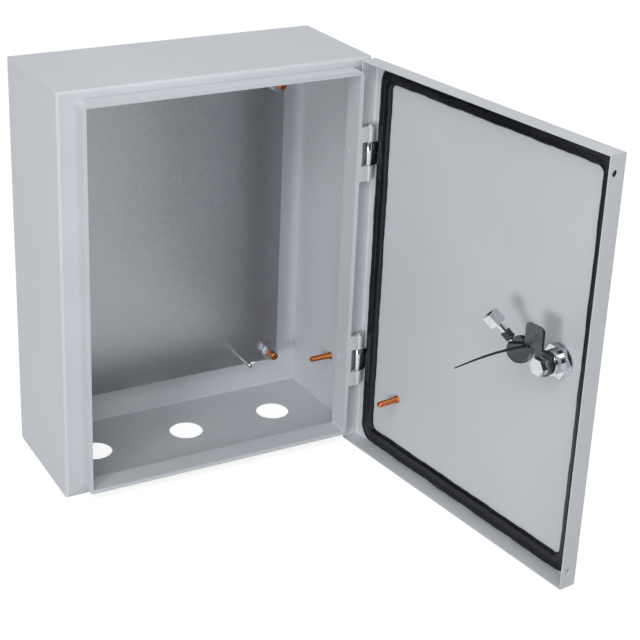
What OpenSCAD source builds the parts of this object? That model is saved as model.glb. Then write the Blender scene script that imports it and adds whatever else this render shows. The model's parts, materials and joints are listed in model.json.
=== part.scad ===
// Steel wall enclosure with a hinged door, a folded rain lip, a mounting plate and a cam lock.
// Millimetres, +Z up, the door at the front (-Y). The origin is the centre of the four wall holes on the back face.
// The door bodies are drawn shut by their own modules and turned to the drawn state by on_door().

/* [Enclosure] */
// Overall width, left to right
width = 310; // [290:1:380]
// Overall height, bottom to top
height = 395; // [370:1:500]
// Overall depth from the wall to the shut door's face
depth = 150; // [140:1:220]
// Thickness of the steel sheet
sheet = 1.2; // [1:0.1:1.4]
// Outside radius of the bent edges
bend = 3; // [2.5:0.1:3.5]

/* [Front frame] */
// Width of the flange at the two sides, up to the lip
flange_side = 17; // [16.5:0.1:18]
// Width of the flange at the top and bottom, up to the lip
flange_end = 8; // [7.5:0.1:9]
// How far the rain lip stands in front of the flange
lip_height = 16; // [15.5:0.1:16.3]
// Width of the lip's folded front
lip_width = 4; // [3.6:0.1:4.5]
// How far the lip's inner fold runs back behind the flange
lip_return = 6; // [4:0.5:7]
// Outside corner radius of the lip
lip_corner = 5; // [4.8:0.1:7]

/* [Wall holes] */
// Spacing of the wall holes, left to right
wall_hole_x = 210; // [160:1:220]
// Spacing of the wall holes, bottom to top
wall_hole_z = 331; // [330:1:336]
// Diameter of the wall holes
wall_hole_d = 8; // [6:0.5:10]

/* [Cable holes] */
// Spacing of the three cable holes in the floor
cable_hole_step = 99; // [60:1:100]
// Diameter of the cable holes
cable_hole_d = 34; // [20:1:36]
// Distance of the cable holes from the wall
cable_hole_y = 58; // [50:1:80]

/* [Mounting plate] */
// Width of the mounting plate
plate_width = 246; // [240:1:250]
// Height of the mounting plate
plate_height = 315; // [310:1:318]
// Thickness of the mounting plate
plate_t = 2; // [1.5:0.1:2.5]
// Length of the spacers behind the plate
spacer_length = 15; // [10:0.5:20]
// Outside diameter of the spacers
spacer_d = 14; // [12:0.5:15]
// Distance of the plate studs from the plate's edges
stud_inset = 10; // [9.5:0.1:12]
// Diameter of the plate studs
stud_d = 8; // [6:0.5:8]
// Length of stud standing in front of its nut
stud_tip = 8.5; // [5:0.5:12]

/* [Earth studs] */
// Diameter of the earth studs
earth_d = 6; // [4:0.5:6]
// Length of the earth studs on the wall and the door
earth_length = 23; // [15:0.5:26]
// Length of the plate's earth pin
plate_pin_length = 27; // [15:0.5:30]
// Diameter of the plate's earth pin
plate_pin_d = 5; // [3:0.5:5]

/* [Door] */
// Depth of the door's folded rim
door_rim = 18.5; // [18:0.1:19]
// Gap between the rim and the flange with the door shut
door_gap = 3.5; // [3.2:0.1:4]
// Angle the door is drawn at, measured from shut
door_angle = 97; // [0:1:115]
// Diameter of the two holes in the free edge
edge_hole_d = 6; // [4:0.5:8]
// Distance of those holes from the door's ends
edge_hole_inset = 16; // [12:0.5:30]
// Width of the gasket
gasket_width = 14; // [12:0.5:14]
// Room left between the gasket and the lip with the door shut
gasket_room = 0.4; // [0.3:0.1:0.8]
// Outside corner radius of the gasket
gasket_corner = 17; // [16:0.5:20]

/* [Hinges] */
// Height of each hinge above and below the middle
hinge_z = 108; // [60:1:140]
// Overall length of a hinge
hinge_length = 54; // [45:1:70]
// Length of each of the two fixed knuckles
knuckle_length = 15; // [12:0.5:16]
// Outside radius of the knuckles
knuckle_r = 4.2; // [4:0.1:4.3]
// Radius of the hinge pin
pin_r = 2.5; // [2:0.1:2.6]
// Distance from the hinge axis to the shut door's face
hinge_depth = 9.5; // [9.3:0.1:9.7]
// Room between a knuckle and the door's rim
knuckle_room = 0.5; // [0.4:0.1:0.6]
// Thickness of the hinge leaves
leaf_t = 1.5; // [1.2:0.1:1.6]

/* [Lock] */
// Distance of the lock from the door's free edge
lock_inset = 45; // [44:0.5:50]
// Radius of the lock's threaded barrel
barrel_r = 11; // [10:0.5:11]
// Radius of the turning core
core_r = 8; // [7:0.1:8]
// Distance from the door's inner face to the cam
cam_stand = 18; // [17:0.5:20]
// Step of the cam towards the wall
cam_step = 13.5; // [12:0.5:15]
// Reach of the cam from the lock axis
cam_reach = 40; // [34:0.5:40]
// Width of the cam
cam_width = 20; // [16:0.5:20]
// Thickness of the cam
cam_t = 2.5; // [2:0.1:3]
// Distance across the flats of the cam bolt
bolt_flats = 14; // [10:0.5:14]

/* [Key] */
// Radius of the key's round bow
bow_r = 12; // [9:0.5:12]
// Length from the bow's centre to the key's tip
key_length = 40; // [36:0.5:40]
// Radius of the key's shaft
key_shaft_r = 3; // [2.5:0.1:3.2]
// Length of the cable tie's free tail
tie_tail = 78; // [40:1:80]

/* [Clearances] */
// Radial running clearance of turning fits
run_fit = 0.05; // [0.03:0.01:0.08]
// Radial clearance of threads and fixed pins
thread_fit = 0.05; // [0.03:0.01:0.08]
// Radial clearance of plain holes round a bolt or barrel
hole_fit = 0.4; // [0.35:0.05:0.6]
// Axial clearance between turning parts
end_fit = 0.2; // [0.1:0.05:0.3]

/* [Hidden] */
$fn = 64;
half_w = width / 2;
half_h = height / 2;
body_depth = depth - door_rim - door_gap;
lip_front = -body_depth - lip_height;
lip_w = width - 2 * flange_side;
lip_h = height - 2 * flange_end;
mitre_x = flange_side + lip_width;
mitre_z = flange_end + lip_width;
mitre_back = -body_depth + bend + 1;
stud_x = plate_width / 2 - stud_inset;
stud_z = plate_height / 2 - stud_inset;
plate_face = -sheet - spacer_length - plate_t;
washer_t = 1.6;
nut_t = 6.5;
nut_flats = 13;
door_in = -depth + sheet;
hinge_x = half_w - sheet - knuckle_room - knuckle_r;
hinge_y = -depth + hinge_depth;
leaf_length = hinge_length - 2 * knuckle_length - 2 * end_fit;
lock_x = -half_w + lock_inset;
cam_y = door_in + cam_stand;
head_t = 2.5;
seal_t = 0.8;
barrel_end = door_in + 12.8;
earth_z = -half_h + 64;
plate_pin_x = 79;
plate_pin_z = -146.5;

// A plate drawn in X and Z, reaching from y0 forward by length.
module forward(y0, length) {
    translate([0, y0, 0])
        rotate([90, 0, 0])
            linear_extrude(length)
                children();
}

// A profile drawn in Y and Z, extruded along X about the middle.
module across(length) {
    rotate([90, 0, 90])
        linear_extrude(length, center = true)
            children();
}

// A rectangle with true round corners.
module round_rect(w, h, r) {
    square([w - 2 * r, h], center = true);
    square([w, h - 2 * r], center = true);
    for (x = [-1, 1])
        for (z = [-1, 1])
            translate([x * (w / 2 - r), z * (h / 2 - r)])
                circle(r);
}

// A box with its front edges bent: the outline from the side crossed with the outline from above.
module bent_box(w, h, back, front, r) {
    intersection() {
        across(w)
            translate([(back + front) / 2, 0])
                round_rect(back - front, h, r);
        linear_extrude(h + 2 * r, center = true) {
            translate([0, (back + front + r) / 2])
                square([w, back - front - r], center = true);
            translate([0, (back + front) / 2])
                square([w - 2 * r, back - front], center = true);
            for (x = [-1, 1])
                translate([x * (w / 2 - r), front + r])
                    circle(r);
        }
    }
}

// The lip's outline, moved in by the given amount.
module lip_outline(inset) {
    round_rect(lip_w - 2 * inset, lip_h - 2 * inset, lip_corner - inset);
}

// The outline of the lip's inner fold, moved out by the given amount.
module fold_outline(outset) {
    round_rect(lip_w - 2 * lip_width + 2 * outset, lip_h - 2 * lip_width + 2 * outset, lip_corner - lip_width + outset);
}

// The whole folded body before it is divided: five walls, flange, lip and inner fold.
module body_sheet() {
    difference() {
        bent_box(width, height, 0, -body_depth, bend);
        bent_box(width - 2 * sheet, height - 2 * sheet, -sheet, -body_depth + sheet, bend - sheet);
        forward(-body_depth + bend, 2 * bend)
            lip_outline(sheet);
    }
    forward(-body_depth + sheet, lip_height + sheet)
        difference() {
            lip_outline(0);
            lip_outline(sheet);
        }
    forward(lip_front + sheet, sheet)
        difference() {
            lip_outline(0);
            fold_outline(0);
        }
    forward(-body_depth + lip_return, lip_height + lip_return)
        difference() {
            fold_outline(sheet);
            fold_outline(0);
        }
}

// The mitred area of the front frame that belongs to one side panel.
module mitre_area() {
    polygon([
        [half_w + mitre_x / 10, half_h + mitre_z / 10],
        [half_w - mitre_x, half_h - mitre_z],
        [half_w - 2 * mitre_x, half_h - 2 * mitre_z],
        [half_w - 2 * mitre_x, -half_h + 2 * mitre_z],
        [half_w - mitre_x, -half_h + mitre_z],
        [half_w + mitre_x / 10, -half_h - mitre_z / 10]
    ]);
}

// Everything that belongs to the right side panel.
module side_zone() {
    forward(mitre_back, mitre_back - lip_front + bend)
        mitre_area();
    forward(-body_depth + lip_return + bend, lip_return + bend)
        intersection() {
            mitre_area();
            square([lip_w + bend, lip_h + bend], center = true);
        }
    translate([half_w - sheet, mitre_back, -half_h + sheet])
        cube([bend, -mitre_back - sheet, height - 2 * sheet]);
}

module on_door() {
    translate([hinge_x, hinge_y, 0])
        rotate([0, 0, door_angle])
            translate([-hinge_x, -hinge_y, 0])
                children();
}

module shell_wrap() {
    color("silver")
        difference() {
            body_sheet();
            side_zone();
            mirror([1, 0, 0])
                side_zone();
            for (x = [-1, 1])
                for (z = [-1, 1])
                    translate([x * wall_hole_x / 2, 0, z * wall_hole_z / 2])
                        rotate([90, 0, 0])
                            cylinder(h = 4 * sheet, d = wall_hole_d, center = true);
            for (i = [-1, 0, 1])
                translate([i * cable_hole_step, -cable_hole_y, -half_h])
                    cylinder(h = 4 * sheet, d = cable_hole_d, center = true);
        }
}

module side_right() {
    color("silver")
        mirror([0, 0, 1])
            intersection() {
                body_sheet();
                side_zone();
            }
}

module side_left() {
    color("silver")
        mirror([1, 0, 0])
            intersection() {
                body_sheet();
                side_zone();
            }
}

module at_studs() {
    for (x = [-1, 1])
        for (z = [-1, 1])
            translate([x * stud_x, 0, z * stud_z])
                rotate([90, 0, 0])
                    children();
}

module mounting_plate() {
    color("dimgray")
        difference() {
            forward(plate_face + plate_t, plate_t)
                round_rect(plate_width, plate_height, 4);
            at_studs()
                cylinder(h = 60, r = stud_d / 2 + hole_fit);
            translate([plate_pin_x, plate_face, plate_pin_z])
                rotate([90, 0, 0])
                    cylinder(h = 4 * plate_t, r = plate_pin_d / 2 - 0.5 + hole_fit, center = true);
        }
}

module plate_spacers() {
    color("gray")
        at_studs()
            translate([0, 0, sheet])
                difference() {
                    cylinder(h = spacer_length, d = spacer_d);
                    translate([0, 0, -1])
                        cylinder(h = spacer_length + 2, r = stud_d / 2 + hole_fit);
                }
}

// A stud with a chamfered tip, pointing along +Z.
module stud(length, d) {
    cylinder(h = length - 1, d = d);
    translate([0, 0, length - 1])
        cylinder(h = 1, d1 = d, d2 = d - 1.6);
}

module plate_studs() {
    color("silver")
        at_studs()
            translate([0, 0, sheet])
                stud(-plate_face - sheet + washer_t + nut_t + stud_tip, stud_d);
}

module plate_washers() {
    color("silver")
        at_studs()
            translate([0, 0, -plate_face])
                difference() {
                    cylinder(h = washer_t, d = 16);
                    translate([0, 0, -1])
                        cylinder(h = washer_t + 2, r = stud_d / 2 + hole_fit);
                }
}

module plate_nuts() {
    color("silver")
        at_studs()
            translate([0, 0, -plate_face + washer_t])
                difference() {
                    cylinder(h = nut_t, r = nut_flats / sqrt(3), $fn = 6);
                    translate([0, 0, -1])
                        cylinder(h = nut_t + 2, r = stud_d / 2 + thread_fit);
                }
}

module plate_earth_pin() {
    color("silver")
        translate([plate_pin_x, plate_face, plate_pin_z])
            rotate([90, 0, 0]) {
                stud(plate_pin_length, plate_pin_d);
                translate([0, 0, -plate_t])
                    cylinder(h = plate_t + 1, r = plate_pin_d / 2 - 0.5);
            }
}

// A welded earth stud with its flared foot, pointing along +Z.
module earth_stud() {
    stud(earth_length, earth_d);
    cylinder(h = 1, d = earth_d + 2.4);
}

module wall_earth_stud() {
    color("peru")
        translate([half_w - sheet, -body_depth * 0.62, earth_z])
            rotate([0, -90, 0])
                earth_stud();
}

module lip_plugs() {
    color("silver")
        for (z = [-1, 1])
            translate([half_w - mitre_x, -body_depth, z * hinge_z])
                rotate([0, -90, 0])
                    cylinder(h = 0.5, r = 2.6);
}

// The fixed half of one hinge: a strip on the lip, and two arms out to the knuckles.
module hinge_bracket() {
    difference() {
        union() {
            translate([half_w - flange_side, lip_front, -hinge_length / 2])
                cube([leaf_t, 3.6, hinge_length]);
            for (z = [-hinge_length / 2, hinge_length / 2 - knuckle_length]) {
                translate([half_w - flange_side, lip_front, z])
                    cube([hinge_x - half_w + flange_side, 3, knuckle_length]);
                translate([hinge_x, hinge_y, z])
                    cylinder(h = knuckle_length, r = knuckle_r);
            }
        }
        translate([hinge_x, hinge_y, -hinge_length])
            cylinder(h = 2 * hinge_length, r = pin_r + thread_fit);
    }
}

// A hinge pin with a round head, its shank down through all three knuckles.
module hinge_pin() {
    translate([hinge_x, hinge_y, -hinge_length / 2]) {
        cylinder(h = hinge_length, r = pin_r);
        translate([0, 0, hinge_length])
            cylinder(h = 1.4, r = pin_r + 1);
    }
}

// The door's half of one hinge: the barrel, its web and its foot on the door.
module hinge_leaf() {
    difference() {
        union() {
            translate([hinge_x, hinge_y, 0])
                cylinder(h = leaf_length, r = knuckle_r, center = true);
            translate([hinge_x - leaf_t, door_in, -leaf_length / 2])
                cube([2 * leaf_t, hinge_y - door_in, leaf_length]);
            translate([hinge_x - knuckle_r - 0.8, door_in, -leaf_length / 2])
                cube([2 * knuckle_r - 0.8, leaf_t, leaf_length]);
        }
        translate([hinge_x, hinge_y, -hinge_length])
            cylinder(h = 2 * hinge_length, r = pin_r + run_fit);
    }
}

module hinge_bracket_upper() {
    color("silver")
        translate([0, 0, hinge_z])
            hinge_bracket();
}

module hinge_bracket_lower() {
    color("silver")
        translate([0, 0, -hinge_z])
            hinge_bracket();
}

module hinge_pin_upper() {
    color("gainsboro")
        translate([0, 0, hinge_z])
            hinge_pin();
}

module hinge_pin_lower() {
    color("gainsboro")
        translate([0, 0, -hinge_z])
            hinge_pin();
}

module hinge_leaf_upper() {
    color("gainsboro")
        on_door()
            translate([0, 0, hinge_z])
                hinge_leaf();
}

module hinge_leaf_lower() {
    color("gainsboro")
        on_door()
            translate([0, 0, -hinge_z])
                hinge_leaf();
}

module door_pan() {
    color("silver")
        on_door()
            difference() {
                intersection() {
                    bent_box(width, height, 0, -depth, bend);
                    translate([-width, -2 * depth + door_rim, -height])
                        cube([2 * width, depth, 2 * height]);
                }
                bent_box(width - 2 * sheet, height - 2 * sheet, 0, door_in, bend - sheet);
                translate([lock_x, -depth, 0])
                    rotate([90, 0, 0])
                        cylinder(h = 4 * sheet, r = barrel_r + hole_fit, center = true);
                for (z = [-1, 1])
                    translate([-half_w, -body_depth - door_gap - door_rim / 3, z * (half_h - edge_hole_inset)])
                        rotate([0, 90, 0])
                            cylinder(h = 4 * sheet, d = edge_hole_d, center = true);
            }
}

module door_gasket() {
    gasket_w = lip_w - lip_width;
    gasket_h = lip_h - lip_width;
    color("black")
        on_door()
            forward(lip_front - gasket_room, lip_front - gasket_room - door_in)
                difference() {
                    round_rect(gasket_w + gasket_width, gasket_h + gasket_width, gasket_corner);
                    round_rect(gasket_w - gasket_width, gasket_h - gasket_width, gasket_corner / 3);
                }
}

module door_earth_stud() {
    color("peru")
        on_door()
            translate([half_w - 60, door_in, earth_z + 2])
                rotate([-90, 0, 0])
                    earth_stud();
}

// Places a lock piece: its axis through the lock's centre, +Z running in from the door's inner face.
module at_lock(stand) {
    on_door()
        translate([lock_x, door_in + stand, 0])
            rotate([-90, 0, 0])
                children();
}

module lock_housing() {
    color("silver")
        at_lock(-sheet - seal_t)
            difference() {
                union() {
                    translate([0, 0, -head_t])
                        cylinder(h = head_t, r = barrel_r + 3.5);
                    cylinder(h = barrel_end - door_in + sheet + seal_t, r = barrel_r);
                }
                translate([0, 0, -50])
                    cylinder(h = 100, r = core_r + run_fit);
            }
}

module lock_seal() {
    color("black")
        at_lock(-sheet - seal_t)
            difference() {
                cylinder(h = seal_t, r = barrel_r + 3);
                translate([0, 0, -1])
                    cylinder(h = seal_t + 2, r = barrel_r + hole_fit);
            }
}

module lock_ring() {
    color("silver")
        at_lock(0)
            difference() {
                cylinder(h = washer_t, r = barrel_r + 4.5);
                translate([0, 0, -1])
                    cylinder(h = washer_t + 2, r = barrel_r + hole_fit);
            }
}

module lock_nut() {
    color("silver")
        at_lock(washer_t)
            difference() {
                cylinder(h = 5, r = (2 * barrel_r + 5) / sqrt(3), $fn = 6);
                translate([0, 0, -1])
                    cylinder(h = 7, r = barrel_r + thread_fit);
            }
}

// The turning core: face with a double-bit keyway, shoulder, neck and the square that drives the cam.
module lock_core() {
    core_back = barrel_end - door_in + end_fit;
    color("silver")
        at_lock(0)
            difference() {
                union() {
                    translate([0, 0, -sheet - seal_t - head_t + 1])
                        cylinder(h = core_back + sheet + seal_t + head_t - 1, r = core_r);
                    translate([0, 0, core_back])
                        cylinder(h = 2, r = core_r + 1.5);
                    cylinder(h = cam_stand, r = core_r - 2);
                    translate([-core_r / 2, -core_r / 2, 0])
                        cube([core_r, core_r, cam_stand + cam_t - end_fit]);
                }
                translate([0, 0, -10])
                    difference() {
                        union() {
                            cylinder(h = 14, r = 4);
                            translate([-6, -1.5, 0])
                                cube([12, 3, 14]);
                        }
                        cylinder(h = 14, r = 1.5);
                    }
                translate([0, 0, cam_stand - 8])
                    cylinder(h = 20, r = 3 + thread_fit);
            }
}

// The cam: a flat hub on the core's square, a slanting step, and the tongue that passes behind the lip.
module cam() {
    rise = cam_width / 2 + 3;
    run = 9;
    ease = cam_t * tan(atan2(cam_step, run) / 2);
    color("dimgray")
        on_door()
            difference() {
                intersection() {
                    translate([lock_x, cam_y, 0])
                        across(cam_width)
                            polygon([
                                [0, -cam_width],
                                [cam_t, -cam_width],
                                [cam_t, rise - ease],
                                [cam_step + cam_t, rise + run - ease],
                                [cam_step + cam_t, cam_reach],
                                [cam_step, cam_reach],
                                [cam_step, rise + run],
                                [0, rise]
                            ]);
                    forward(0, depth)
                        translate([lock_x, 0]) {
                            circle(d = cam_width);
                            translate([-cam_width / 2, 0])
                                square([cam_width, cam_reach - 4]);
                            translate([0, cam_reach - 8])
                                round_rect(cam_width, 16, 4);
                        }
                }
                translate([lock_x - core_r / 2 - run_fit, cam_y - 1, -core_r / 2 - run_fit])
                    cube([core_r + 2 * run_fit, cam_t + 2, core_r + 2 * run_fit]);
            }
}

module cam_washer() {
    color("silver")
        at_lock(cam_stand + cam_t)
            difference() {
                cylinder(h = 1.2, r = 8);
                translate([0, 0, -1])
                    cylinder(h = 3.2, r = 3 + hole_fit);
            }
}

module cam_bolt() {
    color("gainsboro")
        at_lock(cam_stand + cam_t + 1.2) {
            cylinder(h = 6, r = bolt_flats / sqrt(3), $fn = 6);
            translate([0, 0, -9])
                cylinder(h = 9, r = 3);
        }
}

// Places the key: the bow's centre at the origin, the shaft along +Z, turned to where it hangs from its tie.
module at_key() {
    on_door()
        translate([lock_x + 18.6, cam_y + 11, 9.5])
            rotate([0, 44.8, 39])
                rotate([0, 0, 22.4])
                    children();
}

module key() {
    head = 10.5;
    color("gainsboro")
        at_key() {
            rotate([90, 0, 0])
                cylinder(h = 1.6, r = bow_r, center = true);
            rotate([90, 0, 0])
                difference() {
                    cylinder(h = 3, r = bow_r, center = true);
                    cylinder(h = 6, r = bow_r - 1.8, center = true);
                }
            translate([0, 0, bow_r - 1])
                cylinder(h = key_length - bow_r - 5, r = key_shaft_r);
            rotate([0, 0, 35])
                difference() {
                    translate([-head / 2, -head / 2, key_length - head - 1])
                        cube([head, head, head + 1]);
                    translate([0, 0, key_length - 8])
                        cylinder(h = 9, r = 3.2);
                }
        }
}

// The cable tie: a loop round the key's shaft, a strap to the cam's edge, its head there and the free tail.
module cable_tie() {
    loop_z = bow_r + 2.5;
    tie_x = lock_x + cam_width / 2 + 0.1;
    color("black") {
        at_key()
            for (z = [0, 3.1, 6.2])
                translate([0, 0, loop_z + z])
                    difference() {
                        cylinder(h = 2.6, r = key_shaft_r + 1.6);
                        translate([0, 0, -1])
                            cylinder(h = 5, r = key_shaft_r + thread_fit);
                    }
        on_door() {
            translate([tie_x, cam_y + 7.6, 13])
                cube([3.6, 4.5, 5]);
            translate([tie_x + 1, cam_y + 12, 13.8])
                cube([1.4, tie_tail, 3.4]);
        }
    }
}

shell_wrap();
side_left();
side_right();
mounting_plate();
plate_spacers();
plate_studs();
plate_washers();
plate_nuts();
plate_earth_pin();
wall_earth_stud();
lip_plugs();
hinge_bracket_upper();
hinge_bracket_lower();
hinge_pin_upper();
hinge_pin_lower();
door_pan();
door_gasket();
door_earth_stud();
hinge_leaf_upper();
hinge_leaf_lower();
lock_housing();
lock_seal();
lock_ring();
lock_nut();
lock_core();
cam();
cam_washer();
cam_bolt();
key();
cable_tie();
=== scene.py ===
"""Steel wall enclosure, its door standing open: folded and welded sheet steel with a grey powder coat, a
poured foam gasket, chromed hinges and cam lock, copper-plated earth studs, and the key tied to the cam."""
import json
import math
import bmesh
import bpy
import numpy as np
from mathutils import Matrix, Vector


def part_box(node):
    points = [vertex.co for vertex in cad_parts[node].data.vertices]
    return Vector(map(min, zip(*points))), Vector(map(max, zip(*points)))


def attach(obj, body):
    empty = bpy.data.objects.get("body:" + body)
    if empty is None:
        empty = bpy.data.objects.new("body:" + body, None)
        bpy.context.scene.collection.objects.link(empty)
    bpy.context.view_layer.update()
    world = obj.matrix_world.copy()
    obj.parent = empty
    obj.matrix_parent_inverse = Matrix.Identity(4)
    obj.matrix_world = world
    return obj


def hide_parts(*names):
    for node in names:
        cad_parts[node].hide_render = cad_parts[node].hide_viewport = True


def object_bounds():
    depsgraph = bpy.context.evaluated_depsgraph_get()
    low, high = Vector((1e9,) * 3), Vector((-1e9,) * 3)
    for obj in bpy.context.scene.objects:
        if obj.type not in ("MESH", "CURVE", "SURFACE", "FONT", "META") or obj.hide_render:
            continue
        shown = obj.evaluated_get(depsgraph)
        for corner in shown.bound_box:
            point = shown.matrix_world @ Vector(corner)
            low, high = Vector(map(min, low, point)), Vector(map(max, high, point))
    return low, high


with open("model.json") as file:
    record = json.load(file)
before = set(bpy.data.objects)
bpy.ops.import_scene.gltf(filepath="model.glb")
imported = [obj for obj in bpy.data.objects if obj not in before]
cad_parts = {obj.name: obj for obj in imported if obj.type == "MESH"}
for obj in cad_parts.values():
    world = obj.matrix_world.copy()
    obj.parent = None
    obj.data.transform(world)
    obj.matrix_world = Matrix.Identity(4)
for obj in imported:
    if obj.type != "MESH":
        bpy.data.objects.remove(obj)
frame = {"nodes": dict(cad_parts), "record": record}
cad_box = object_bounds()
nodes = frame["nodes"]
record = frame["record"]

# --- Camera -----------------------------------------------------------------------------------------------
# It stands in front and to the left, above the box, with a small lens shift that lifts the object in the
# frame.
yaw, pitch, roll = math.radians(27.573), math.radians(-22.17), math.radians(1.479)
forward = Vector((math.sin(yaw) * math.cos(pitch), math.cos(yaw) * math.cos(pitch), math.sin(pitch)))
right = Vector((math.cos(yaw), -math.sin(yaw), 0.0))
up = right.cross(forward)
tilted_right = math.cos(roll) * right + math.sin(roll) * up
tilted_up = -math.sin(roll) * right + math.cos(roll) * up
camera = bpy.data.objects.new("camera", bpy.data.cameras.new("camera"))
bpy.context.scene.collection.objects.link(camera)
turn = Matrix((tilted_right, tilted_up, -forward)).transposed().to_4x4()
eye = (-0.566672, -1.286283, 0.565162)
camera.matrix_world = Matrix.Translation(eye) @ turn
camera.data.lens = 84.87  # millimetres
camera.data.shift_x = 0.1
camera.data.shift_y = -0.125
bpy.context.scene.camera = camera

# --- Material helpers -------------------------------------------------------------------------------------
# Builders for procedural materials: a colour ramp, a spread of roughness and a bump, each driven by noise
# in object coordinates.


def linear(code):
    """An sRGB hex colour as linear RGBA: each channel is taken off the sRGB curve."""
    c = np.array([int(code[i:i + 2], 16) for i in (1, 3, 5)]) / 255
    c = np.where(c <= 0.04045, c / 12.92, ((c + 0.055) / 1.055) ** 2.4)
    return (*map(float, c), 1.0)


def add(tree, kind, settings=None, **links):
    """Adds one node. settings sets attributes or sockets by name, and links feeds sockets from other
    sockets."""
    n = tree.nodes.new(kind)
    for k, v in (settings or {}).items():
        if k in n.inputs:
            n.inputs[k].default_value = v
        else:
            setattr(n, k, v)
    for k, v in links.items():
        tree.links.new(v, n.inputs[k.replace("_", " ")])
    return n


def finish_of(name, **sockets):
    """A new material with its shader's own sockets set; returns the material, its tree, the shader and a
    coordinate."""
    m = bpy.data.materials.new(name)
    m.use_nodes = True
    t = m.node_tree
    shader = t.nodes["Principled BSDF"]
    for k, v in sockets.items():
        shader.inputs[k.replace("_", " ")].default_value = v
    place = add(t, "ShaderNodeTexCoord").outputs["Object"]
    return m, t, shader, place


def tone(t, factor, stops):
    """A colour ramp over a factor, from (position, hex) stops."""
    r = add(t, "ShaderNodeValToRGB", None, Fac=factor)
    r.color_ramp.elements[0].position, r.color_ramp.elements[0].color = stops[0][0], linear(stops[0][1])
    r.color_ramp.elements[1].position, r.color_ramp.elements[1].color = stops[-1][0], linear(stops[-1][1])
    for p, code in stops[1:-1]:
        r.color_ramp.elements.new(p).color = linear(code)
    return r.outputs["Color"]


def roughen(t, shader, factor, low, high):
    """Spreads the roughness between two values by a factor."""
    r = add(t, "ShaderNodeMapRange", {"To Min": low, "To Max": high}, Value=factor)
    t.links.new(r.outputs["Result"], shader.inputs["Roughness"])


def emboss(t, shader, height, depth, strength=1.0):
    """A bump whose height is a factor and whose depth is in metres."""
    b = add(t, "ShaderNodeBump", {"Strength": strength, "Distance": depth}, Height=height)
    t.links.new(b.outputs["Normal"], shader.inputs["Normal"])


def dress(material, *names):
    """Gives CAD pieces one material in place of their own."""
    for n in names:
        nodes[n].data.materials.clear()
        nodes[n].data.materials.append(material)


# --- Mesh helpers -----------------------------------------------------------------------------------------
# Pieces are grids of points in metres. Those on the door are made for the shut door, and hang() turns them
# to the drawn state.
door_hinge = record["behaviour"]["joints"][0]
hinge_x, hinge_y, _ = door_hinge["pos_m"]
opened = math.radians(-door_hinge["range_deg"][0])  # the joint's lower limit is the shut door
door_face = -0.1488  # the door's inner face when it is shut


def hang(p):
    """Turns points of the shut door to the drawn state, about the hinge pins' line."""
    c, s = math.cos(opened), math.sin(opened)
    x, y = p[..., 0] - hinge_x, p[..., 1] - hinge_y
    return np.stack([hinge_x + c * x - s * y, hinge_y + s * x + c * y, p[..., 2]], -1)


def surface(name, points, material, around=True, along=False, close_ends=True):
    """A mesh from a grid of points: rows run along the piece, columns around it. Ends are closed by a fan
    of one point."""
    rows, cols = points.shape[:2]
    verts = points.reshape(-1, 3)
    last_row, last_col = rows if along else rows - 1, cols if around else cols - 1
    i, j = np.meshgrid(np.arange(last_row), np.arange(last_col), indexing="ij")
    i2, j2 = (i + 1) % rows, (j + 1) % cols
    quads = np.stack([i * cols + j, i * cols + j2, i2 * cols + j2, i2 * cols + j], -1).reshape(-1, 4)
    faces = quads.tolist()
    if close_ends and not along:
        ends = np.stack([points[0].mean(0), points[-1].mean(0)])
        verts = np.concatenate([verts, ends])
        k = np.arange(cols)
        first = np.stack([np.full(cols, rows * cols), (k + 1) % cols, k], -1)
        row = (rows - 1) * cols
        last = np.stack([np.full(cols, rows * cols + 1), row + k, row + (k + 1) % cols], -1)
        faces += first.tolist() + last.tolist()
    mesh = bpy.data.meshes.new(name)
    mesh.from_pydata(verts.tolist(), [], faces)
    mesh.materials.append(material)
    mesh.polygons.foreach_set("use_smooth", np.ones(len(mesh.polygons), bool))
    mesh.update()
    piece = bpy.data.objects.new(name, mesh)
    bpy.context.scene.collection.objects.link(piece)
    return piece


def outwards(piece):
    """Recalculates a closed mesh's normals so that they point out."""
    b = bmesh.new()
    b.from_mesh(piece.data)
    bmesh.ops.recalc_face_normals(b, faces=b.faces)
    b.to_mesh(piece.data)
    b.free()


def aim(points, foot, axis):
    """Turns a piece made about +Z so that it stands on foot and points along axis."""
    q = Vector((0, 0, 1)).rotation_difference(Vector(axis)).to_matrix()
    return points @ np.array(q).T + np.array(foot)


# --- Folded sheet: the wrap, the two side panels and the door ---------------------------------------------
# 1.2 mm mild steel, cut, folded on a press brake and welded at the mitres, then coated with polyester
# powder. The coat is semi-matt light grey with the faint orange peel that powder leaves, and it rounds over
# the bent edges.


# Powder coat: grey pigment in polyester, IOR 1.5, orange peel about 1.5 mm across, drawn 2.2 mm so that it
# shows.
powder, t, shader, place = finish_of("powder_coat_grey", IOR=1.5, Metallic=0.0, Specular_IOR_Level=0.42)
peel = add(t, "ShaderNodeTexNoise", {"Scale": 450.0, "Detail": 2.0, "Roughness": 0.5}, Vector=place)
cloud = add(t, "ShaderNodeTexNoise", {"Scale": 9.0, "Detail": 3.0}, Vector=place).outputs["Fac"]
t.links.new(tone(t, cloud, [(0.3, "#c3c7cc"), (0.7, "#c9cdd2")]), shader.inputs["Base Color"])
roughen(t, shader, cloud, 0.40, 0.50)
emboss(t, shader, peel.outputs["Fac"], 0.00003, 0.5)
dress(powder, "shell_wrap", "side_left", "side_right", "door_pan", "lip_plugs")

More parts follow.
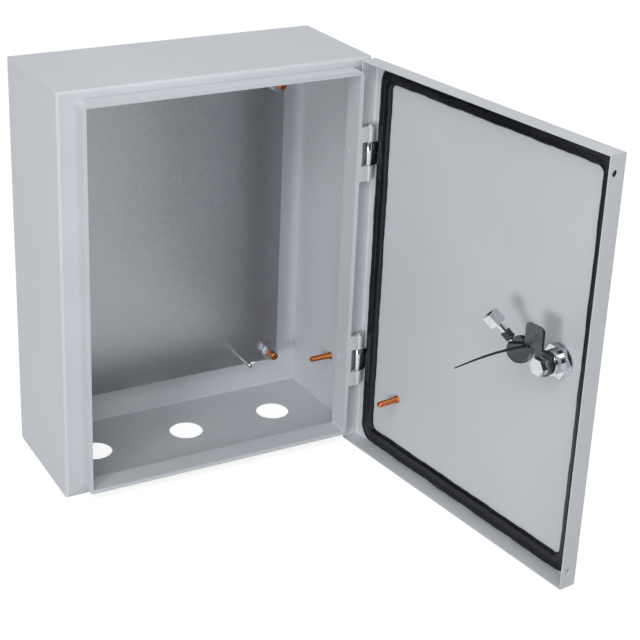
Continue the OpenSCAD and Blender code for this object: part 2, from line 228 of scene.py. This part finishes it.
# --- Hinge brackets ---------------------------------------------------------------------------------------
# Cast zinc alloy, blasted and left matt: paler than the coat beside it, with a fine grain from the
# blasting.
cast_zinc, t, shader, place = finish_of("blasted_zinc_alloy", Metallic=0.35)
grit = add(t, "ShaderNodeTexNoise", {"Scale": 1600.0, "Detail": 2.0}, Vector=place).outputs["Fac"]
t.links.new(tone(t, grit, [(0.3, "#c9cbcf"), (0.7, "#dfe1e4")]), shader.inputs["Base Color"])
roughen(t, shader, grit, 0.42, 0.58)
emboss(t, shader, grit, 0.00004, 0.5)
dress(cast_zinc, "hinge_bracket_upper", "hinge_bracket_lower")

# --- Mounting plate ---------------------------------------------------------------------------------------
# 2 mm galvanised steel, sheared and punched. The zinc has a soft mirror, broken by fine spangle about 2 mm
# across.
galvanised, t, shader, place = finish_of("galvanised_plate", Metallic=0.95)
spangle = add(t, "ShaderNodeTexVoronoi", {"Scale": 480.0}, Vector=place).outputs["Color"]
wash = add(t, "ShaderNodeTexNoise", {"Scale": 14.0, "Detail": 6.0, "Roughness": 0.65}, Vector=place)
grain = add(t, "ShaderNodeMix", {"data_type": "FLOAT", "Factor": 0.55})
t.links.new(add(t, "ShaderNodeSeparateColor", None, Color=spangle).outputs["Red"], grain.inputs[2])
t.links.new(wash.outputs["Fac"], grain.inputs[3])
t.links.new(tone(t, grain.outputs[0], [(0.2, "#9a9da1"), (0.8, "#a4a7ab")]), shader.inputs["Base Color"])
roughen(t, shader, grain.outputs[0], 0.29, 0.34)
dress(galvanised, "mounting_plate")

# --- Plate fixings ----------------------------------------------------------------------------------------
# Turned and rolled steel with bright zinc plating: spacers, washers, nuts and the lock's washer behind the
# bolt.
zinc, t, shader, place = finish_of("bright_zinc_plate", Metallic=1.0)
cast = add(t, "ShaderNodeTexNoise", {"Scale": 160.0, "Detail": 4.0}, Vector=place).outputs["Fac"]
t.links.new(tone(t, cast, [(0.3, "#b9bcc0"), (0.7, "#d3d6da")]), shader.inputs["Base Color"])
roughen(t, shader, cast, 0.24, 0.40)
dress(zinc, "plate_spacers", "plate_washers", "plate_nuts", "cam_washer")

# --- Studs ------------------------------------------------------------------------------------------------
# Welded studs with rolled threads. The two earth studs are copper-plated M6, with a flared foot where they
# are welded. The four plate studs are copper-plated M8, as drawn-arc studs are, and the plate's earth pin
# is a plain bright pin.


def threaded(length, radius, pitch, start, foot=None, tip=0.0008):
    """A thread's surface about +Z: the radius falls and rises once a pitch, shifted by the angle, so the
    ridge climbs."""
    sides, rows_per_pitch = 36, 8
    depth = 0.34 * pitch * 1.1
    rows = int((length - start) / pitch * rows_per_pitch)
    a = np.linspace(0, 2 * np.pi, sides, endpoint=False)
    z = np.concatenate([[0.0], np.linspace(start, length - tip, rows), [length]])
    zz, aa = np.meshgrid(z, a, indexing="ij")
    ridge = np.abs(((zz / pitch - aa / (2 * np.pi)) % 1.0) * 2 - 1)
    r = radius - depth * ridge
    r = np.where(zz <= start, radius, r)
    r[-1] = radius - 0.9 * tip
    if foot:
        width, thick = foot
        extra = np.array([[0.0], [thick], [thick * 1.01]])
        fz = np.repeat(extra, len(a), 1)
        fr = np.repeat(np.array([[width], [width * 0.93], [radius]]), len(a), 1)
        zz = np.vstack([fz, zz[1:]])
        aa = np.vstack([np.repeat(a[None], 3, 0), aa[1:]])
        r = np.vstack([fr, r[1:]])
    return np.stack([r * np.cos(aa), r * np.sin(aa), zz], -1)


copper, t, shader, place = finish_of("copper_plated_steel", Metallic=1.0)
tarnish = add(t, "ShaderNodeTexNoise", {"Scale": 700.0, "Detail": 3.0}, Vector=place).outputs["Fac"]
t.links.new(tone(t, tarnish, [(0.3, "#a85a2c"), (0.7, "#d98a55")]), shader.inputs["Base Color"])
roughen(t, shader, tarnish, 0.22, 0.42)
wall_foot = np.array(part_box("wall_earth_stud"))
stud_y, stud_z = wall_foot[:, 1].mean(), wall_foot[:, 2].mean()
wall_inside = 0.1538  # the inner face of the right-hand wall
earth_thread = threaded(length=0.023, radius=0.003, pitch=0.001, start=0.002, foot=(0.0041, 0.0009))
wall_points = aim(earth_thread, (wall_inside, stud_y, stud_z), (-1, 0, 0))
wall_stud = surface("wall_earth_stud_thread", wall_points, copper)
outwards(wall_stud)
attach(wall_stud, "body")
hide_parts("wall_earth_stud")
door_foot = (0.095, door_face, -0.1315)
door_points = hang(aim(earth_thread, door_foot, (0, 1, 0)))
door_stud = surface("door_earth_stud_thread", door_points, copper)
outwards(door_stud)
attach(door_stud, "door")
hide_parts("door_earth_stud")

bright, t, shader, place = finish_of("bright_turned_steel", Metallic=1.0)
lathe = add(t, "ShaderNodeTexNoise", {"Scale": 900.0, "Detail": 2.0}, Vector=place).outputs["Fac"]
t.links.new(tone(t, lathe, [(0.3, "#c8cbcf"), (0.7, "#e2e4e7")]), shader.inputs["Base Color"])
roughen(t, shader, lathe, 0.14, 0.26)
dress(bright, "plate_earth_pin", "cam_bolt")
dress(copper, "plate_studs")

# --- Gasket -----------------------------------------------------------------------------------------------
# Two-part polyurethane foam, poured as a bead onto the door's inner face and cured. It has a smooth black
# skin with a low sheen, edges that wander by a few tenths of a millimetre, and a low crest where the nozzle
# ran.
foam, t, shader, place = finish_of("poured_black_foam", IOR=1.45, Specular_IOR_Level=0.35)
skin = add(t, "ShaderNodeTexNoise", {"Scale": 260.0, "Detail": 3.0}, Vector=place).outputs["Fac"]
t.links.new(tone(t, skin, [(0.3, "#07080b"), (0.7, "#111419")]), shader.inputs["Base Color"])
roughen(t, shader, skin, 0.20, 0.32)
emboss(t, shader, skin, 0.0002, 0.4)


def ring(half_w, half_h, radius, steps, corner_steps):
    """A rounded rectangle's outline: four quarter arcs of one radius joined by straight sides, all with
    even steps."""
    out = []
    for k, (sx, sz) in enumerate(((1, 1), (-1, 1), (-1, -1), (1, -1))):
        a = np.linspace(k * np.pi / 2, (k + 1) * np.pi / 2, corner_steps)
        mid_x, mid_z = sx * (half_w - radius), sz * (half_h - radius)
        out.append(np.stack([mid_x + radius * np.cos(a), mid_z + radius * np.sin(a)], -1))
    full = []
    for k in range(4):
        full.append(out[k])
        gap = np.linspace(0, 1, steps + 2)[1:-1, None]
        full.append(out[k][-1] * (1 - gap) + out[(k + 1) % 4][0] * gap)
    return np.concatenate(full)


# Both outlines sit towards the free side, the inner one more, so the bead is wider along the hinges.
outline_steps = {"steps": 120, "corner_steps": 24}
outer = ring(half_w=0.14685, half_h=0.1952, radius=0.017, **outline_steps) - (0.00215, 0)
inner = ring(half_w=0.1320, half_h=0.1790, radius=0.0062, **outline_steps) - (0.0030, 0)
wander = np.linspace(0, 2 * np.pi, len(outer), endpoint=False)[:, None]
ripple = 0.00022 * np.sin(19 * wander + 1.0) + 0.00016 * np.sin(43 * wander)
ripple = ripple + 0.0001 * np.sin(97 * wander + 2.0)
bead_points = 33
across = (1 - np.cos(np.linspace(0, np.pi, bead_points))) / 2
crest_place, crest_spread = 0.62, 0.07  # as shares of the way from the outer edge to the inner
crest = 0.88 + 0.12 * np.exp(-((across - crest_place) / crest_spread) ** 2)
bead_height = 0.0044
dome = bead_height * crest * (1 - np.abs(2 * across - 1) ** 5.0) ** 0.5
side = (inner - outer) / np.linalg.norm(inner - outer, axis=1, keepdims=True)
bead = outer[:, None] + (inner - outer)[:, None] * across[None, :, None]
bead = bead + side[:, None] * ripple[:, :, None] * (1 - across)[None, :, None]
bead = bead - side[:, None] * np.roll(ripple, 37)[:, :, None] * across[None, :, None]
height = dome[None] * (1 + 0.03 * np.sin(23 * wander))
height = np.minimum(height, bead_height)
points = np.stack([bead[..., 0], door_face + height, bead[..., 1]], -1)
gasket = surface("foam_gasket", hang(points), foam, around=True, along=True)
outwards(gasket)
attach(gasket, "door")
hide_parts("door_gasket")
dress(foam, "lock_seal")

# --- Hinges and lock --------------------------------------------------------------------------------------
# Die-cast zinc and turned steel with a chromium finish: the door's hinge barrels, pins, lock barrel, ring,
# nut, core and key. The plating mirrors the room, with a haze too fine to see.
chrome, t, shader, place = finish_of("chromium_plate", Metallic=1.0)
haze = add(t, "ShaderNodeTexNoise", {"Scale": 300.0, "Detail": 3.0}, Vector=place).outputs["Fac"]
t.links.new(tone(t, haze, [(0.3, "#c4c7cb"), (0.7, "#dadde0")]), shader.inputs["Base Color"])
roughen(t, shader, haze, 0.06, 0.14)
dress(chrome, "hinge_pin_upper", "hinge_pin_lower", "lock_housing", "lock_ring", "lock_nut", "lock_core",
      "key")


def barrel(radius, foot_left, foot_right, depth, length):
    """A hinge barrel's surface along +Z: half a circle on top of a block that narrows to its foot. The two
    ends are drawn in by 0.4 mm, as the casting's edges are broken."""
    a = np.linspace(0, np.pi, 25)
    arc = np.stack([radius * np.cos(a), radius * np.sin(a)], -1)
    left = np.stack([np.linspace(-radius, -foot_left, 8)[1:], np.linspace(0, -depth, 8)[1:]], -1)
    right = np.stack([np.linspace(foot_right, radius, 8)[:-1], np.linspace(-depth, 0, 8)[:-1]], -1)
    outline = np.concatenate([arc, left, right])
    middle = outline.mean(0)
    half, edge = length / 2, 0.0004
    rows = [(-half, edge), (-half + edge, 0.0), (half - edge, 0.0), (half, edge)]
    return np.stack([np.column_stack([outline + (middle - outline) * (e / radius), np.full(len(outline), z)])
                     for z, e in rows])


for which in ("upper", "lower"):
    leaf = np.array(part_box(f"hinge_leaf_{which}"))
    shut = barrel(radius=0.0044, foot_left=0.0038, foot_right=0.0026, depth=0.0083, length=0.0236)
    shut = shut + (hinge_x, hinge_y, leaf[:, 2].mean())
    piece = surface(f"hinge_barrel_{which}", hang(shut), chrome)
    outwards(piece)
    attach(piece, "door")
    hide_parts(f"hinge_leaf_{which}")

# --- Cam --------------------------------------------------------------------------------------------------
# 2.5 mm steel, blanked and bent, with dark zinc plating: rolling leaves fine streaks along it.
dark_zinc, t, shader, place = finish_of("dark_zinc_plate", Metallic=0.85)
streak = add(t, "ShaderNodeMapping", {"Scale": (1.0, 1.0, 0.12)}, Vector=place).outputs["Vector"]
rolled = add(t, "ShaderNodeTexNoise", {"Scale": 900.0, "Detail": 3.0}, Vector=streak).outputs["Fac"]
t.links.new(tone(t, rolled, [(0.3, "#4c4f53"), (0.7, "#6c6f73")]), shader.inputs["Base Color"])
roughen(t, shader, rolled, 0.22, 0.36)
dress(dark_zinc, "cam")

# --- Cable tie --------------------------------------------------------------------------------------------
# Black nylon, injection moulded: it holds the key to the cam until the box is fitted.
nylon, t, shader, place = finish_of("black_nylon", IOR=1.53)
mould = add(t, "ShaderNodeTexNoise", {"Scale": 600.0, "Detail": 2.0}, Vector=place).outputs["Fac"]
t.links.new(tone(t, mould, [(0.3, "#0e0f10"), (0.7, "#1b1c1e")]), shader.inputs["Base Color"])
roughen(t, shader, mould, 0.35, 0.5)


def from_key(p):
    """Turns points of the key, whose shaft runs along +Z from the middle of its bow, to their place on the
    shut door."""
    lean = Matrix.Rotation(math.radians(39), 3, "Z") @ Matrix.Rotation(math.radians(44.8), 3, "Y")
    spin = lean @ Matrix.Rotation(math.radians(22.4), 3, "Z")
    bow_middle = np.array([-0.0914, -0.1198, 0.0095])
    return p @ np.array(spin).T + bow_middle


# Three turns round the shaft, hard against the bow: a closed section whose outer side has one swelling for
# each turn.
turns, turns_start, turns_end, turns_length = 3, 0.0123, 0.0203, 0.008
shaft_side = 0.00305  # the strap's inner radius, clear of the shaft
along_shaft = np.linspace(turns_start, turns_end, 37)
swell = 0.0040 + 0.0006 * np.abs(np.sin(np.pi * turns * (along_shaft - turns_start) / turns_length))
back = [[shaft_side, turns_end], [shaft_side, turns_start]]
section = np.concatenate([np.stack([swell, along_shaft], -1), back])
turn_angle = np.linspace(0, 2 * np.pi, 32, endpoint=False)
wrap = np.stack([section[:, :1] * np.cos(turn_angle), section[:, :1] * np.sin(turn_angle),
                 np.repeat(section[:, 1:], len(turn_angle), 1)], -1)
# The strap's tail runs on from the head in a shallow arc and narrows to its tip.
tail_length, tail_arch = 0.078, 0.0022
run = np.linspace(0, 1, 40)[:, None]
corner = np.linspace(0, 2 * np.pi, 16, endpoint=False)[None]
flat = [np.sign(f(corner)) * np.abs(f(corner)) ** 0.5 for f in (np.cos, np.sin)]
tail = np.stack([-0.0982 + 0.0006 * (1 - 0.3 * run) * flat[0], -0.1190 + tail_length * run + 0 * corner,
                 0.0155 + tail_arch * np.sin(np.pi * run) + 0.0013 * (1 - 0.6 * run ** 2) * flat[1]], -1)
# The head is a block with rounded edges round the tail's root.
rise = np.array([0.0, 0.0004, 0.0041, 0.0045])[:, None]
inset = np.array([0.82, 1.0, 1.0, 0.82])[:, None]
head = np.stack([-0.0981 + 0.0018 * inset * flat[0], -0.1232 + rise + 0 * corner,
                 0.0155 + 0.0025 * inset * flat[1]], -1)
tie_pieces = [("tie_turns", from_key(wrap), True), ("tie_tail", tail, False), ("tie_head", head, False)]
for name, points, closed in tie_pieces:
    piece = surface(name, hang(points), nylon, around=True, along=closed)
    outwards(piece)
    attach(piece, "lock")
    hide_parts("cable_tie")

# --- Floor, backdrop and lights ---------------------------------------------------------------------------
# A plain white studio. The floor keeps the object's shadow, and the surroundings show white to the camera.
# Reflections see a dimmer sky, the curtain behind the camera and every lamp but the front fill.
floor_mesh = bpy.data.meshes.new("floor")
reach = 6.0
floor_corners = [(-reach, -reach, 0), (reach, -reach, 0), (reach, reach, 0), (-reach, reach, 0)]
floor_mesh.from_pydata(floor_corners, [], [(0, 1, 2, 3)])
floor_mesh.transform(Matrix.Translation((0, 0, float(cad_box[0][2]) - 0.0005)))
floor = bpy.data.objects.new("floor", floor_mesh)
bpy.context.scene.collection.objects.link(floor)
paper, t, shader, place = finish_of("studio_paper", Roughness=0.9, Specular_IOR_Level=0.0)
mottle = add(t, "ShaderNodeTexNoise", {"Scale": 3.0}, Vector=place).outputs["Fac"]
t.links.new(tone(t, mottle, [(0.3, "#8f9092"), (0.7, "#929395")]), shader.inputs["Base Color"])
ray = add(t, "ShaderNodeLightPath")
seen = add(t, "ShaderNodeMath", {"operation": "MAXIMUM"})
t.links.new(ray.outputs["Is Camera Ray"], seen.inputs[0])
t.links.new(ray.outputs["Is Glossy Ray"], seen.inputs[1])
clear = add(t, "ShaderNodeMath", {"operation": "MAXIMUM"})
t.links.new(seen.outputs[0], clear.inputs[0])
t.links.new(ray.outputs["Is Transmission Ray"], clear.inputs[1])
glow = add(t, "ShaderNodeEmission", {"Color": (1, 1, 1, 1)})
level = add(t, "ShaderNodeMath", {"operation": "MULTIPLY"})
t.links.new(clear.outputs[0], level.inputs[0])
floor_glow = 0.84
level.inputs[1].default_value = floor_glow
t.links.new(level.outputs[0], glow.inputs["Strength"])
both = add(t, "ShaderNodeAddShader")
t.links.new(shader.outputs[0], both.inputs[0])
t.links.new(glow.outputs[0], both.inputs[1])
t.links.new(both.outputs[0], t.nodes["Material Output"].inputs["Surface"])
floor_mesh.materials.append(paper)

world = bpy.data.worlds.new("studio")
bpy.context.scene.world = world
world.use_nodes = True
t = world.node_tree
ray = add(t, "ShaderNodeLightPath")
seen = add(t, "ShaderNodeMath", {"operation": "MAXIMUM"})
t.links.new(ray.outputs["Is Camera Ray"], seen.inputs[0])
t.links.new(ray.outputs["Is Transmission Ray"], seen.inputs[1])
sky_level, seen_level = 0.49, 1.0  # as a light, and as seen by the camera
level = add(t, "ShaderNodeMapRange", {"To Min": sky_level, "To Max": seen_level})
t.links.new(seen.outputs[0], level.inputs["Value"])
t.nodes["Background"].inputs["Color"].default_value = (1, 1, 1, 1)
t.links.new(level.outputs["Result"], t.nodes["Background"].inputs["Strength"])


def lamp(name, place, target, size, power):
    """A square soft box of the given size, aimed at a target."""
    data = bpy.data.lights.new(name, "AREA")
    data.size, data.energy = size, power
    o = bpy.data.objects.new(name, data)
    o.location = place
    o.rotation_euler = (Vector(target) - Vector(place)).to_track_quat("-Z", "Y").to_euler()
    bpy.context.scene.collection.objects.link(o)
    return o


lamp("key_light", (-1.1, -1.5, 1.9), (0, -0.2, 0), size=1.3, power=19)
lamp("top_light", (0.2, 0.1, 2.2), (0, -0.15, 0), size=1.4, power=12)
front_fill = lamp("front_fill", (-0.5, -2.4, 0.2), (0.1, -0.1, 0.08), size=1.6, power=12)
front_fill.visible_glossy = False  # mirror-flat chrome would burn out white where it faces this lamp
lamp("left_fill", (-1.9, -1.5, 0.17), (0.15, -0.2, 0), size=0.5, power=19)

# The room behind the camera is a dark curtain with paler folds, which chrome shows as bands. Only
# reflections see it.
dark_room = bpy.data.meshes.new("dark_room")
curtain_corners = [(-2.6, -3.1, -0.6), (2.2, -3.1, -0.6), (2.2, -3.1, 1.5), (-2.6, -3.1, 1.5)]
dark_room.from_pydata(curtain_corners, [], [(0, 1, 2, 3)])
unlit, t, shader, place = finish_of("grey_curtain", Roughness=1.0, Specular_IOR_Level=0.0)
folds = add(t, "ShaderNodeTexNoise", {"Scale": 2.2, "Detail": 1.0}, Vector=place).outputs["Fac"]
t.links.new(tone(t, folds, [(0.42, "#1c1e21"), (0.6, "#a2a5aa")]), shader.inputs["Base Color"])
dark_room.materials.append(unlit)
room = bpy.data.objects.new("dark_room", dark_room)
room.visible_camera = room.visible_diffuse = room.visible_shadow = False
bpy.context.scene.collection.objects.link(room)

bpy.context.scene.view_settings.view_transform = "Standard"
